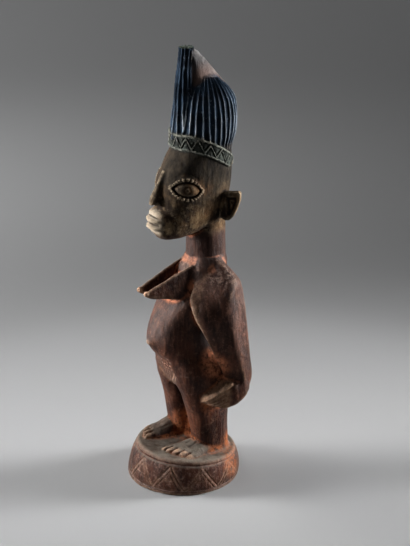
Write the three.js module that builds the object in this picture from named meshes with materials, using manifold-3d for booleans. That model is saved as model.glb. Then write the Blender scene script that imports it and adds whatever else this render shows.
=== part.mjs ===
// Ibeji figure: a standing woman with a tall ribbed coiffure and her hands on her thighs, carved with
// its round plinth from one block of wood.
// Millimetres, +Z up. The figure faces -Y and its left side is +X. The origin is the centre of the
// plinth's flat underside.

import * as THREE from 'three';
import { LoftGeometry } from 'three/addons/geometries/LoftGeometry.js';
import { mergeVertices } from 'three/addons/utils/BufferGeometryUtils.js';
import Module from 'manifold-3d';

// Driving sizes of the figure
const FIGURE_HEIGHT = 260;

// Driving sizes of the plinth
const PLINTH_HEIGHT = 24.5;
const PLINTH_DROP = 2.4;
const PLINTH_FOOT_RADIUS = 36.6;
const PLINTH_RIM_RADIUS = 31.6;
const PLINTH_BULGE = 1.6;
const PLINTH_LEAN_X = 2.2;
const PLINTH_LEAN_Y = 1.1;
const PLINTH_SLOPE_X = -0.007;
const PLINTH_SLOPE_Y = -0.101;
const PLINTH_EDGE = 1.2;
const PLINTH_BORDER = 3.6;
const PLINTH_GROOVE_WIDTH = 1.4;
const PLINTH_GROOVE_DEPTH = 0.7;
const PLINTH_CHEVRONS = 10;
const PLINTH_CHEVRON_PHASE = -47;

// Driving sizes of the carving
const HAIR_RIBS = 27;
const COLUMN_RIBS = 12;
const RIB_DEPTH = 1.1;
const BAND_PROUD = 1.3;
const BAND_HEIGHT = 10.3;
const BAND_BORDER = 1.4;
const BAND_TRIANGLES = 16;
const BAND_PIT_DEPTH = 0.8;
const EYE_ANGLE = 48;
const EYE_LEVEL = 0.54;
const EYE_TILT = 0.12;
const EYE_HALF_LENGTH = 9.5;
const EYE_HALF_HEIGHT = 5.2;
const EYE_RIM_WIDTH = 1.5;
const EYE_GROOVE = 0.8;
const EYE_RIM_PROUD = 1.3;
const EYE_FLOOR = 0.3;
const EYEBALL_PROUD = 0.9;
const EAR_THICKNESS = 4.6;
const EAR_SCOOP_DEPTH = 1.8;
const FINGERS = 5;
const FINGER_GROOVE_WIDTH = 0.9;
const FINGER_GROOVE_DEPTH = 0.8;
const TOES = 5;
const TOE_GROOVE_WIDTH = 1.4;
const TOE_GROOVE_DEPTH = 1.8;

// The figure is laid out on 260 units of height above the plinth's front, so that a unit is a millimetre
// at its real size. Stations below are in these units, with z measured from the plinth's height in front.
const UNIT = FIGURE_HEIGHT / 260;

const wasm = await Module();
wasm.setup();

// A closed geometry in millimetres as a solid that can be joined and cut
function solid(geometry) {
  const bare = new THREE.BufferGeometry();
  bare.setAttribute('position', geometry.attributes.position);
  bare.setIndex(geometry.index);
  const merged = mergeVertices(bare, 1e-4);
  const mesh = new wasm.Mesh({
    numProp: 3,
    vertProperties: new Float32Array(merged.attributes.position.array),
    triVerts: new Uint32Array(merged.index.array),
  });
  return new wasm.Manifold(mesh);
}

// A rounded section: half-width a, reach front towards -Y and back towards +Y from y, and power n, where
// 2 is an ellipse and 4 nearly a rectangle
function section(station, sides) {
  const { x = 0, y = 0, z, a, front, back, n } = station;
  const points = [];
  for (let i = 0; i < sides; i++) {
    const t = (i / sides) * 2 * Math.PI;
    const c = Math.cos(t);
    const s = Math.sin(t);
    const u = a * Math.sign(c) * Math.abs(c) ** (2 / n);
    const v = (s < 0 ? front : back) * Math.sign(s) * Math.abs(s) ** (2 / n);
    points.push(new THREE.Vector3(x + u, y + v, z));
  }
  return points;
}

// A closed body through its rows of points
function lofted(rows) {
  return new LoftGeometry(rows, { capStart: true, capEnd: true });
}

// Upright body through its stations, grown outwards by grow
function upright(stations, sides, grow = 0) {
  return lofted(stations.map((station) => {
    const { a, front, back } = station;
    return section({ ...station, a: a + grow, front: front + grow, back: back + grow }, sides);
  }));
}

// A body whose stations run forward, towards -Y: its local z is the way forward and its local y is up
function forward(stations, sides) {
  const geometry = upright(stations, sides);
  geometry.applyMatrix4(new THREE.Matrix4().makeBasis(
    new THREE.Vector3(1, 0, 0), new THREE.Vector3(0, 0, 1), new THREE.Vector3(0, -1, 0)));
  return geometry;
}

// A closed geometry in units as a solid, scaled to millimetres and stood at the plinth's height
function carved(geometry) {
  return solid(geometry.scale(UNIT, UNIT, UNIT).translate(0, 0, PLINTH_HEIGHT));
}

// The same geometry on the figure's other side
function mirrored(geometry) {
  geometry.scale(-1, 1, 1);
  const index = geometry.index ?? new THREE.BufferAttribute(
    new Uint32Array(geometry.attributes.position.count).map((_, i) => i), 1);
  for (let i = 0; i < index.count; i += 3) {
    const swap = index.getX(i);
    index.setX(i, index.getX(i + 1));
    index.setX(i + 1, swap);
  }
  return geometry.setIndex(index);
}

// What make builds on the figure's left side, as solids on both sides
function bothSides(make) {
  return [carved(make()), carved(mirrored(make()))];
}

// A straight V groove between two places on a surface that faces out, as a geometry to cut with
function groove(from, to, out, width, depth) {
  const across = new THREE.Vector3().crossVectors(out, to.clone().sub(from)).normalize();
  return lofted([from, to].map((end) => [
    end.clone().addScaledVector(across, -width).addScaledVector(out, depth),
    end.clone().addScaledVector(out, -depth),
    end.clone().addScaledVector(across, width).addScaledVector(out, depth),
  ]));
}

// Height of the plinth's top over the point x, y, in millimetres. It falls from the front to the back.
function plinthTop(x, y) {
  return PLINTH_HEIGHT - PLINTH_DROP + PLINTH_SLOPE_X * x + PLINTH_SLOPE_Y * y;
}

// A point on the plinth's side, sunk by depth, at an angle in degrees and a share of its height
function plinthSide(angle, share, depth = 0) {
  const flare = THREE.MathUtils.lerp(PLINTH_FOOT_RADIUS, PLINTH_RIM_RADIUS, share);
  const radius = flare + PLINTH_BULGE * 4 * share * (1 - share) - depth;
  const x = PLINTH_LEAN_X * share + radius * Math.cos(THREE.MathUtils.degToRad(angle));
  const y = PLINTH_LEAN_Y * share + radius * Math.sin(THREE.MathUtils.degToRad(angle));
  return new THREE.Vector3(x, y, share * plinthTop(x, y));
}

// The round plinth, flared to its foot and leaning back a little, with a grooved border above and below
// and a chevron frieze
function plinth() {
  const sides = 36;
  const border = PLINTH_BORDER / PLINTH_HEIGHT;
  const width = PLINTH_GROOVE_WIDTH / PLINTH_HEIGHT;
  const edge = PLINTH_EDGE / PLINTH_HEIGHT;
  const profile = [
    [0, PLINTH_EDGE],
    [edge, 0],
    [border - width, 0],
    [border - width / 2, PLINTH_GROOVE_DEPTH],
    [border, 0],
    [1 - border, 0],
    [1 - border + width / 2, PLINTH_GROOVE_DEPTH],
    [1 - border + width, 0],
    [1 - edge, 0],
    [1, PLINTH_EDGE],
  ];
  let body = solid(lofted(profile.map(([share, depth]) => {
    const points = [];
    for (let i = 0; i < sides; i++) points.push(plinthSide((i / sides) * 360, share, depth));
    return points;
  })));
  const pitch = 360 / PLINTH_CHEVRONS;
  for (let i = 0; i < PLINTH_CHEVRONS; i++) {
    const peak = PLINTH_CHEVRON_PHASE + i * pitch;
    for (const side of [-1, 1]) {
      const from = plinthSide(peak + side * 0.06 * pitch, 1 - border - width);
      const to = plinthSide(peak + side * 0.46 * pitch, border + width);
      const out = new THREE.Vector3(from.x + to.x, from.y + to.y, 0).normalize();
      body = body.subtract(solid(groove(from, to, out, PLINTH_GROOVE_WIDTH, PLINTH_GROOVE_DEPTH)));
    }
  }
  return body;
}

// Trunk from the crotch to the top of the shoulders
const TRUNK = [
  { z: 39.5, y: 9, a: 21, front: 15.5, back: 15.5, n: 2.6 },
  { z: 43, y: 8.5, a: 24, front: 18, back: 18, n: 2.6 },
  { z: 48, y: 8, a: 24.8, front: 19.5, back: 19.5, n: 2.6 },
  { z: 55.5, y: 6.5, a: 23.4, front: 21.3, back: 20.5, n: 2.5 },
  { z: 61, y: 4, a: 20.8, front: 20.8, back: 21.2, n: 2.4 },
  { z: 65, y: 1, a: 19.2, front: 21.2, back: 20.8, n: 2.3 },
  { z: 70, y: -1.5, a: 18.2, front: 21, back: 20, n: 2.2 },
  { z: 76, y: -2.7, a: 17.6, front: 19.6, back: 19.2, n: 2.1 },
  { z: 81, y: -1.9, a: 17.6, front: 19.6, back: 19.7, n: 2.1 },
  { z: 86.5, y: -0.2, a: 17.9, front: 20.2, back: 20.2, n: 2.1 },
  { z: 93.5, y: 2.5, a: 19, front: 19.2, back: 20, n: 2.2 },
  { z: 101.5, y: 6, a: 20, front: 17, back: 19, n: 2.4 },
  { z: 110, y: 10, a: 18, front: 13.4, back: 16.5, n: 2.4 },
  { z: 118.5, y: 12, a: 15, front: 12.4, back: 14, n: 2.2 },
  { z: 123.5, y: 16, a: 14, front: 12, back: 11, n: 2.2 },
  { z: 126.3, y: 17, a: 13.4, front: 10.8, back: 10, n: 2.2 },
];

// Pointed belly that ends in the navel
const BELLY = [
  { z: 8, a: 17, front: 9.5, back: 20, y: 75, n: 2 },
  { z: 17, a: 13.5, front: 8.2, back: 16, y: 74, n: 2 },
  { z: 21.2, a: 8.6, front: 5.4, back: 10, y: 73.4, n: 2 },
  { z: 23.8, a: 4.2, front: 2.9, back: 5, y: 73.2, n: 2 },
  { z: 25.8, a: 1.3, front: 1, back: 1.5, y: 72.9, n: 2 },
];

// One leg of the left side, a thick column that tapers down to the foot
const LEG = [
  { z: -5, x: 12.8, y: 11.6, a: 9.8, front: 11.2, back: 11.6, n: 2.5 },
  { z: 6, x: 12.8, y: 11.4, a: 10.2, front: 11.8, back: 11.8, n: 2.5 },
  { z: 15.5, x: 12.8, y: 10.5, a: 10.4, front: 12.6, back: 12.7, n: 2.5 },
  { z: 25.5, x: 12.8, y: 9.9, a: 10.5, front: 14.2, back: 14.2, n: 2.5 },
  { z: 35.5, x: 12.8, y: 9, a: 10.6, front: 16.2, back: 16, n: 2.5 },
  { z: 45, x: 12.8, y: 8.2, a: 10.6, front: 18.2, back: 17.5, n: 2.5 },
  { z: 52, x: 12.2, y: 7.5, a: 9.5, front: 18, back: 17, n: 2.5 },
];

// The right leg stands a little in front of the left one, most at the ankle
function leg(stride) {
  const shift = ({ z, y }) => y + stride * Math.max(1 - z / 45, 0);
  return upright(LEG.map((station) => ({ ...station, y: shift(station) })), 14);
}

// Neck, from inside the chest into the jaw, with a low collar at its root
const NECK = [
  { z: 112, y: 17.4, a: 13.8, front: 13.8, back: 13.8, n: 2 },
  { z: 124, y: 17.4, a: 13.8, front: 13.8, back: 13.8, n: 2 },
  { z: 125.2, y: 17.4, a: 12.7, front: 12.7, back: 12.7, n: 2 },
  { z: 162, y: 17.4, a: 12.4, front: 12.4, back: 12.4, n: 2 },
];

// Shoulder and upper arm of the left side, down to the elbow. Each row has a front facet that starts at
// the inner face and runs facet outwards and rise back, then the outer edge at the place y called widest,
// and a back facet that ends at back.
const ARM = [
  { z: 31.5, inner: 26.5, outer: 33, front: 16, facet: 2, rise: 0.6, widest: 17.4, back: 19.6 },
  { z: 36, inner: 25, outer: 35.6, front: 15.5, facet: 3.4, rise: 1, widest: 20.6, back: 26.6 },
  { z: 42, inner: 24.2, outer: 36.6, front: 15, facet: 4.2, rise: 1.6, widest: 23.2, back: 31.8 },
  { z: 50.5, inner: 24.2, outer: 36.6, front: 14.4, facet: 4.2, rise: 1.6, widest: 24.4, back: 33.8 },
  { z: 63.5, inner: 23.8, outer: 36.2, front: 8.6, facet: 4.2, rise: 2, widest: 21, back: 32.6 },
  { z: 77.5, inner: 22.6, outer: 35.4, front: 2.8, facet: 4.2, rise: 2.2, widest: 18.2, back: 31.3 },
  { z: 95.5, inner: 20.4, outer: 34, front: -5.5, facet: 4.4, rise: 3, widest: 15.8, back: 30.2 },
  { z: 103.5, inner: 17.5, outer: 33, front: -7, facet: 5.4, rise: 6.6, widest: 15.8, back: 29.9 },
  { z: 111.5, inner: 13, outer: 32.4, front: -4.6, facet: 7.2, rise: 9.2, widest: 16.8, back: 29.8 },
  { z: 115.5, inner: 10.5, outer: 30.4, front: -2.7, facet: 7.9, rise: 10.1, widest: 17.8, back: 28.3 },
  { z: 118.5, inner: 8.5, outer: 27, front: -0.6, facet: 8.6, rise: 11, widest: 18.6, back: 26.4 },
  { z: 123, inner: 7, outer: 22, front: 3.4, facet: 8, rise: 9.4, widest: 18.4, back: 23.6 },
  { z: 126, inner: 6, outer: 16, front: 7, facet: 6.5, rise: 6, widest: 17.2, back: 22.2 },
];

// Forearm and hand of the left side, running forward from the elbow: z is the distance in front of the
// plinth's axis and y the height
const FOREARM = [
  { z: -30, x: 30.5, y: 43.5, a: 3.4, front: 4, back: 4, n: 2.6 },
  { z: -26, x: 30.5, y: 41.5, a: 5.6, front: 6.2, back: 6.5, n: 2.8 },
  { z: -20, x: 29.6, y: 40, a: 6.1, front: 9, back: 7.6, n: 3 },
  { z: -15, x: 28.2, y: 38.4, a: 5.4, front: 9.4, back: 8, n: 3 },
  { z: -10, x: 26.4, y: 37, a: 4.4, front: 7.2, back: 5.6, n: 2.8 },
  { z: -5, x: 24.6, y: 36.4, a: 3.4, front: 4.6, back: 3.2, n: 2.6 },
  { z: -1.8, x: 23, y: 36.2, a: 1.9, front: 2.2, back: 1.6, n: 2.4 },
];

// Foot, running forward from the ankle: y is the height over the plinth and z a share of the foot's reach
const FOOT = [
  { z: -0.29, x: 0, y: -2, a: 8, front: 3, back: 9.5, n: 2.4 },
  { z: 0, x: 0, y: -2, a: 10, front: 3, back: 14, n: 2.2 },
  { z: 0.42, x: 0, y: -2, a: 9.8, front: 3, back: 11.5, n: 2.2 },
  { z: 0.66, x: 0, y: -2, a: 9.8, front: 3, back: 8.2, n: 2.4 },
  { z: 0.88, x: 0, y: -2, a: 9.6, front: 3, back: 6.6, n: 2.8 },
  { z: 1, x: 0, y: -2, a: 8.6, front: 3, back: 5.4, n: 2.8 },
];

// The left foot turns outwards and is the broader and flatter one. slant draws the little toe back, and
// fullness is the foot's height over the plinth.
const FEET = [
  { side: 1, x: 13.4, stride: 1.2, turn: 9, reach: 30, spread: 1.2, slant: 0.36, fullness: 0.6 },
  { side: -1, x: 14.6, stride: -2, turn: 1, reach: 30.7, spread: 0.76, slant: 0.5, fullness: 1 },
];

function foot({ side, x: middle, stride, turn, reach, spread, slant, fullness }) {
  const place = (geometry) => {
    const position = geometry.attributes.position;
    for (let i = 0; i < position.count; i++) {
      const share = Math.max(-position.getY(i) / reach, 0);
      position.setX(i, THREE.MathUtils.lerp(1, spread, share) * position.getX(i));
      position.setY(i, position.getY(i) + slant * share * position.getX(i));
    }
    geometry.rotateZ(THREE.MathUtils.degToRad(turn)).translate(middle, 11.4 + stride, -PLINTH_DROP);
    const sloped = new THREE.Matrix4().set(
      1, 0, 0, 0, 0, 1, 0, 0, side * PLINTH_SLOPE_X, PLINTH_SLOPE_Y, 1, 0, 0, 0, 0, 1);
    geometry.applyMatrix4(sloped);
    return carved(side > 0 ? geometry : mirrored(geometry));
  };
  const height = (back) => 2 + (back - 2) * fullness;
  const rows = FOOT.map(({ z, back, ...rest }) => ({ ...rest, z: z * reach, back: height(back) }));
  let body = place(forward(rows, 14));
  for (let i = 1; i < TOES; i++) {
    const x = THREE.MathUtils.lerp(-9.4, 9.4, i / TOES);
    const from = new THREE.Vector3(x, -0.82 * reach, height(7.2) - 2);
    const to = new THREE.Vector3(x, -1.04 * reach, height(4.4) - 2);
    const out = new THREE.Vector3(0, 0, 1);
    body = body.subtract(place(groove(from, to, out, TOE_GROOVE_WIDTH, TOE_GROOVE_DEPTH)));
  }
  return body;
}

// Left breast, a long wedge with a sharp top ridge, a flat underside and a small blunt tip
const BREAST = [
  { y: 4, x: 7.4, top: 122.6, low: 100, inner: 0.4, outer: 15.5 },
  { y: -4, x: 6.7, top: 120, low: 101.6, inner: 0.7, outer: 13.8 },
  { y: -16, x: 5.7, top: 114.8, low: 103.4, inner: 1.2, outer: 10.4 },
  { y: -25, x: 4.8, top: 111, low: 104.6, inner: 2, outer: 7.8 },
  { y: -28, x: 4.5, top: 109.6, low: 105.6, inner: 2.7, outer: 6.4 },
  { y: -29.9, x: 4.5, top: 109.4, low: 106.6, inner: 3.1, outer: 5.9 },
];

function breast() {
  return lofted(BREAST.map(({ y, x, top, low, inner, outer }) => {
    const shoulder = THREE.MathUtils.lerp(low, top, 0.24);
    return [
      [x - 0.5, top], [inner, shoulder], [inner + 1, low],
      [outer - 1, low], [outer, shoulder], [x + 0.5, top],
    ].map(([across, height]) => new THREE.Vector3(across, y, height));
  }));
}

function arm() {
  return lofted(ARM.map(({ z, inner, outer, front, facet, rise, widest, back }) => {
    const backEdge = THREE.MathUtils.lerp(inner, outer, 0.62);
    const corners = [
      [inner, front], [inner + facet, front + rise], [outer, widest], [backEdge, back], [inner, back],
    ].map(([x, y]) => new THREE.Vector3(x, y, z));
    return softened(corners, 0.14);
  }));
}

// The same outline with each corner cut off at a share of its two edges
function softened(corners, share) {
  return corners.flatMap((corner, i) => {
    const before = corners[(i + corners.length - 1) % corners.length];
    const after = corners[(i + 1) % corners.length];
    return [corner.clone().lerp(before, share), corner.clone().lerp(after, share)];
  });
}

// A groove of the left hand, at a share from its lowest finger to its highest
function fingerGroove(share) {
  const from = new THREE.Vector3(32.4, 13.5, THREE.MathUtils.lerp(30, 45.4, share));
  const to = new THREE.Vector3(27, 5.4, THREE.MathUtils.lerp(33, 39.4, share));
  const out = new THREE.Vector3(0, 0, 1).cross(to.clone().sub(from)).normalize();
  return groove(from, to, out, FINGER_GROOVE_WIDTH, FINGER_GROOVE_DEPTH);
}

// Head from the chin up into the coiffure, on simple shares of its own height
const HEAD = [
  { z: 141, y: -7, a: 6.5, front: 9.5, back: 11, n: 2.4 },
  { z: 145, y: -3, a: 10.4, front: 15.5, back: 17, n: 2.5 },
  { z: 151.5, y: 4, a: 13.6, front: 22, back: 21, n: 2.4 },
  { z: 160.5, y: 8, a: 15.8, front: 25, back: 22, n: 2.3 },
  { z: 170.5, y: 9.5, a: 17.2, front: 25.5, back: 22.5, n: 2.3 },
  { z: 180.5, y: 11, a: 17.6, front: 24.5, back: 22, n: 2.3 },
  { z: 189.5, y: 12, a: 17.7, front: 21.5, back: 21, n: 2.2 },
  { z: 198, y: 13.5, a: 17.3, front: 18.6, back: 19.4, n: 2 },
  { z: 204, y: 14, a: 16.4, front: 17.5, back: 18, n: 2 },
];

// Ribbed body of the coiffure
const HAIR = [
  { z: 186, y: 13, a: 17, front: 17.8, back: 18.8, n: 2 },
  { z: 198, y: 14, a: 17.5, front: 18.8, back: 20.4, n: 2 },
  { z: 206, y: 15.3, a: 18.7, front: 21, back: 21, n: 2.1 },
  { z: 214, y: 17, a: 18.8, front: 20.4, back: 20, n: 2.1 },
  { z: 226, y: 17.8, a: 17.3, front: 18.6, back: 18.3, n: 2.1 },
  { z: 232.5, y: 17.8, a: 14.4, front: 15.4, back: 14.6, n: 2.1 },
  { z: 238, y: 17.5, a: 10.6, front: 11.4, back: 9.7, n: 2 },
  { z: 241.5, y: 16.6, a: 6.8, front: 7.6, back: 6.4, n: 2 },
  { z: 243, y: 16, a: 3, front: 3.6, back: 3, n: 2 },
];

// Front column of the coiffure, up to its small flat top
const COLUMN = [
  { z: 203, y: 2.8, a: 9.6, front: 9.8, back: 9, n: 2 },
  { z: 211, y: 2.4, a: 8.9, front: 8.9, back: 8.6, n: 2 },
  { z: 220.5, y: 2, a: 7.4, front: 7.4, back: 7.4, n: 2 },
  { z: 230.5, y: 2, a: 6.4, front: 6.4, back: 6.4, n: 2 },
  { z: 240.5, y: 2.2, a: 5.6, front: 5.5, back: 5.6, n: 2 },
  { z: 250.5, y: 2.9, a: 5, front: 4.8, back: 5, n: 2 },
  { z: 260, y: 4, a: 5, front: 5, back: 5, n: 2 },
];

// Worn crest that falls from behind the column to the back of the head
const CREST = [
  { z: 214, y: 15, a: 12, front: 10, back: 22, n: 2.2 },
  { z: 226, y: 15, a: 9.5, front: 10, back: 21, n: 2.2 },
  { z: 231, y: 14.5, a: 8.4, front: 9, back: 18.7, n: 2.2 },
  { z: 236, y: 13.5, a: 7.2, front: 8, back: 15.6, n: 2.2 },
  { z: 241, y: 12, a: 6, front: 6.5, back: 13, n: 2.2 },
  { z: 246.5, y: 10, a: 5.2, front: 4.5, back: 10.6, n: 2.2 },
  { z: 251, y: 7.8, a: 4.6, front: 2, back: 8.6, n: 2.2 },
  { z: 257.5, y: 5.6, a: 3.6, front: 2, back: 4.8, n: 2.2 },
];

// Upright body through its stations whose surface is cut into ribs
function ribbed(stations, ribs) {
  return lofted(stations.map((station) => section(station, ribs * 2).map((point, i) => {
    const { y, z, a } = station;
    const axis = new THREE.Vector3(0, y, z);
    const reach = point.distanceTo(axis);
    const depth = i % 2 === 0 ? 0 : Math.min(RIB_DEPTH, 0.14 * a);
    return axis.lerp(point, 1 - depth / reach);
  })));
}

// The hairband's side at an angle in degrees and a share of its height, standing proud of the head. Its
// top edge is level in front and falls towards the back.
function bandPoint(angle, share, proud) {
  const t = THREE.MathUtils.degToRad(angle);
  const x = (17.6 + proud) * Math.cos(t);
  const y = 14 + (19.2 + proud) * Math.sin(t);
  const fall = Math.max(y, 0);
  return new THREE.Vector3(x, y, 208 - 0.32 * fall - 0.008 * fall * fall - (1 - share) * BAND_HEIGHT);
}

// Hairband with two rows of sunk triangles, which leave a raised zigzag between them
function band() {
  const sides = 32;
  const chamfer = 0.08;
  const profile = [[0, 0.2], [chamfer, BAND_PROUD], [1 - chamfer, BAND_PROUD], [1, 0.2]];
  let body = carved(lofted(profile.map(([share, proud]) => {
    const points = [];
    for (let i = 0; i < sides; i++) points.push(bandPoint((i / sides) * 360, share, proud));
    return points;
  })));
  const border = BAND_BORDER / BAND_HEIGHT;
  const pitch = 360 / BAND_TRIANGLES;
  for (let i = 0; i < BAND_TRIANGLES; i++) {
    for (const up of [true, false]) {
      const middle = (i + (up ? 0 : 0.5)) * pitch;
      const base = up ? border : 1 - border;
      const point = up ? 1 - 1.6 * border : 1.6 * border;
      const corners = [[middle - 0.34 * pitch, base], [middle + 0.34 * pitch, base], [middle, point]];
      if (!up) corners.reverse();
      const reach = (proud) => corners.map(([angle, share]) => bandPoint(angle, share, proud));
      body = body.subtract(carved(lofted([reach(BAND_PROUD - BAND_PIT_DEPTH), reach(BAND_PROUD + 1.5)])));
    }
  }
  return body;
}

// A place on the front half of the head, proud of it, at an angle from the front towards the left side
function headPoint(angle, z, proud) {
  const upper = HEAD.findIndex((station) => station.z > z);
  const [low, high] = [HEAD[upper - 1], HEAD[upper]];
  const at = (value) => THREE.MathUtils.mapLinear(z, low.z, high.z, low[value], high[value]);
  const across = Math.abs(Math.sin(angle) / at('a')) ** at('n');
  const ahead = Math.abs(Math.cos(angle) / at('front')) ** at('n');
  const reach = (across + ahead) ** (-1 / at('n')) + proud;
  return new THREE.Vector3(reach * Math.sin(angle), at('y') - reach * Math.cos(angle), z);
}

// Left eye: a low ball inside a raised almond rim, from its buried root outwards
function eye() {
  const count = 12;
  const middle = THREE.MathUtils.degToRad(EYE_ANGLE);
  const level = THREE.MathUtils.lerp(HEAD[0].z, HEAD.at(-1).z, EYE_LEVEL);
  const radius = headPoint(middle, level, 0).distanceTo(new THREE.Vector3(0, 9.5, level));
  const relief = [
    { grow: EYE_RIM_WIDTH, proud: -2 },
    { grow: EYE_RIM_WIDTH, proud: EYE_RIM_PROUD },
    { grow: 0, proud: EYE_RIM_PROUD },
    { grow: 0, proud: EYE_FLOOR },
    { grow: -EYE_GROOVE, proud: EYE_FLOOR },
    { grow: -EYE_GROOVE - 0.6, proud: EYEBALL_PROUD },
    { grow: -EYE_GROOVE - 2.6, proud: EYEBALL_PROUD + 0.5 },
  ];
  return lofted(relief.map(({ grow, proud }) => {
    const points = [];
    for (let i = 0; i < count; i++) {
      const t = (i / count) * 2 * Math.PI;
      const along = (EYE_HALF_LENGTH + grow) * Math.cos(t);
      const rise = (EYE_HALF_HEIGHT + grow) * Math.sign(Math.sin(t)) * Math.abs(Math.sin(t)) ** 1.3;
      points.push(headPoint(middle + along / radius, level - EYE_TILT * along + rise, proud));
    }
    return points;
  }));
}

// Wedge nose, block mouth and two slab lips
const NOSE = [
  { z: 164, y: -13.5, a: 4.6, front: 9.3, back: 6, n: 2.2 },
  { z: 167, y: -13, a: 4.4, front: 9.4, back: 6, n: 2.2 },
  { z: 175, y: -12, a: 3, front: 6.6, back: 6, n: 2.2 },
  { z: 185, y: -10.5, a: 2.3, front: 2.6, back: 6, n: 2.2 },
];
const MOUTH = [
  { z: 144.5, y: -9.5, a: 8, front: 9.5, back: 6, n: 3.2 },
  { z: 147.5, y: -9.5, a: 9.2, front: 11.2, back: 6, n: 3.4 },
  { z: 158, y: -9.5, a: 9, front: 11.2, back: 6, n: 3.4 },
  { z: 161, y: -9.5, a: 7.4, front: 9.5, back: 6, n: 3 },
];
const LIP = [
  { z: -2.2, y: -11.5, a: 7, front: 9, back: 6, n: 2.4 },
  { z: -0.6, y: -11.5, a: 9.4, front: 12.3, back: 6, n: 2.4 },
  { z: 0.8, y: -11.5, a: 9.2, front: 12.2, back: 6, n: 2.4 },
  { z: 2, y: -11.5, a: 7.4, front: 9.3, back: 6, n: 2.4 },
];
const LIP_HEIGHTS = [150, 154.8];

function face() {
  const lips = LIP_HEIGHTS.map((height) => carved(upright(LIP, 12).translate(0, 0, height)));
  return [carved(upright(NOSE, 10)), carved(upright(MOUTH, 12)), ...lips];
}

// The ear is a slab that stands out and back from the head
const EAR_TURN = THREE.MathUtils.degToRad(47);
const EAR_CENTRE = new THREE.Vector3(17.6, 27.4, 160.8);

// The left ear's slab, or the scoop in its face
function earPlate(outline, depth, lift) {
  const shape = new THREE.Shape(outline.map(([x, y]) => new THREE.Vector2(x, y)));
  const plate = new THREE.ExtrudeGeometry(shape, { depth, bevelEnabled: false });
  return plate.translate(0, 0, lift).rotateX(Math.PI / 2).rotateZ(EAR_TURN)
    .translate(EAR_CENTRE.x, EAR_CENTRE.y, EAR_CENTRE.z);
}

const EAR = [
  [-9, 9.2], [3.4, 9.8], [4.8, 8.6], [4.6, 4], [2.6, -2], [0.4, -6.4], [-2.4, -9.2], [-5, -9.4], [-9, -7],
];
const EAR_SCOOP = [[-4.4, 6.2], [2.4, 6.6], [2.6, 3], [0.8, -2.4], [-1.4, -5.6], [-3.6, -5.8]];

function ears() {
  const slabs = bothSides(() => earPlate(EAR, EAR_THICKNESS, 0));
  const scoops = bothSides(() => earPlate(EAR_SCOOP, 4, EAR_THICKNESS - EAR_SCOOP_DEPTH));
  return slabs.map((slab, i) => slab.subtract(scoops[i]));
}

// Forearms with the hands, cut into fingers
function forearms() {
  let pair = bothSides(() => forward(FOREARM, 12));
  for (let i = 1; i < FINGERS; i++) {
    const cuts = bothSides(() => fingerGroove(i / FINGERS));
    pair = pair.map((forearm, side) => forearm.subtract(cuts[side]));
  }
  return pair;
}

function figure() {
  const parts = [
    carved(upright(TRUNK, 20)),
    carved(forward(BELLY, 16)),
    carved(upright(NECK, 20)),
    carved(leg(FEET[0].stride)),
    carved(mirrored(leg(FEET[1].stride))),
    ...bothSides(arm),
    ...forearms(),
    ...bothSides(breast),
    ...FEET.map(foot),
    carved(upright(HEAD, 22)),
    ...bothSides(eye),
    ...face(),
    ...ears(),
    band(),
    carved(ribbed(HAIR, HAIR_RIBS)),
    carved(ribbed(COLUMN, COLUMN_RIBS)),
    carved(upright(CREST, 12)),
  ];
  return parts.reduce((whole, part) => whole.add(part));
}

// The carving as one geometry: the figure on its plinth
function carving() {
  const mesh = figure().add(plinth()).getMesh();
  const geometry = new THREE.BufferGeometry();
  geometry.setAttribute('position', new THREE.BufferAttribute(new Float32Array(mesh.vertProperties), 3));
  geometry.setIndex(new THREE.BufferAttribute(new Uint32Array(mesh.triVerts), 1));
  geometry.computeVertexNormals();
  return geometry;
}

const wood = new THREE.MeshStandardMaterial({ color: 0x4a2a20, roughness: 0.5, metalness: 0 });
const ibeji = new THREE.Mesh(carving(), wood);
ibeji.name = 'ibeji_figure';

const group = new THREE.Group();
group.add(ibeji);

export default group;
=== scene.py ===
# Ibeji figure: the carved surface, its patina and a plain studio.
# The carving is worked out in millimetres on a grid as a distance to the wood, from the same stations as
# the solid, and turned into one mesh in metres.

import math

import bmesh
import bpy
import numpy as np
import openvdb
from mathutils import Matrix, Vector


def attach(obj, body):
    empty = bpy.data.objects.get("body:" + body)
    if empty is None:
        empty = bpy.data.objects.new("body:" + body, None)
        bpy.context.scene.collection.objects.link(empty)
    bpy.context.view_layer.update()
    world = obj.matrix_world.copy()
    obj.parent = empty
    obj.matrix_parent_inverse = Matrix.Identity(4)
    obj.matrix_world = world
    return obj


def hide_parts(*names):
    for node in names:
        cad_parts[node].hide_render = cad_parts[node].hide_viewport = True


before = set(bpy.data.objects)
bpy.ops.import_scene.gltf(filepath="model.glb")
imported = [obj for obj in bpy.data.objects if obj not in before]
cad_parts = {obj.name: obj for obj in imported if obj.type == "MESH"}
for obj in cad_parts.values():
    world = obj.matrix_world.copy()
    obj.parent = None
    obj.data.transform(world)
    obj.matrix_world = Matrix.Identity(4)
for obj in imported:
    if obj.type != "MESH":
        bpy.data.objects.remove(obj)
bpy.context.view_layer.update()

MM = 0.001
STEP = 0.5
MOST_TRIANGLES = 190000

PLINTH_HEIGHT = 24.5
PLINTH_DROP = 2.4
PLINTH_FOOT_RADIUS = 36.5
PLINTH_RIM_RADIUS = 31.5
PLINTH_BULGE = 1.6
PLINTH_LEAN_X = 2.2
PLINTH_LEAN_Y = 1.1
PLINTH_SLOPE_X = -0.007
PLINTH_SLOPE_Y = -0.101
PLINTH_CHEVRONS = 10
PLINTH_CHEVRON_PHASE = -47
PLINTH_MEAN_RADIUS = 35

# How far the plinth's underside and the coiffure's back stay inside the solid's
UNDERSIDE_INSET = 0.05
HAIR_INSET = 0.15

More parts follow.
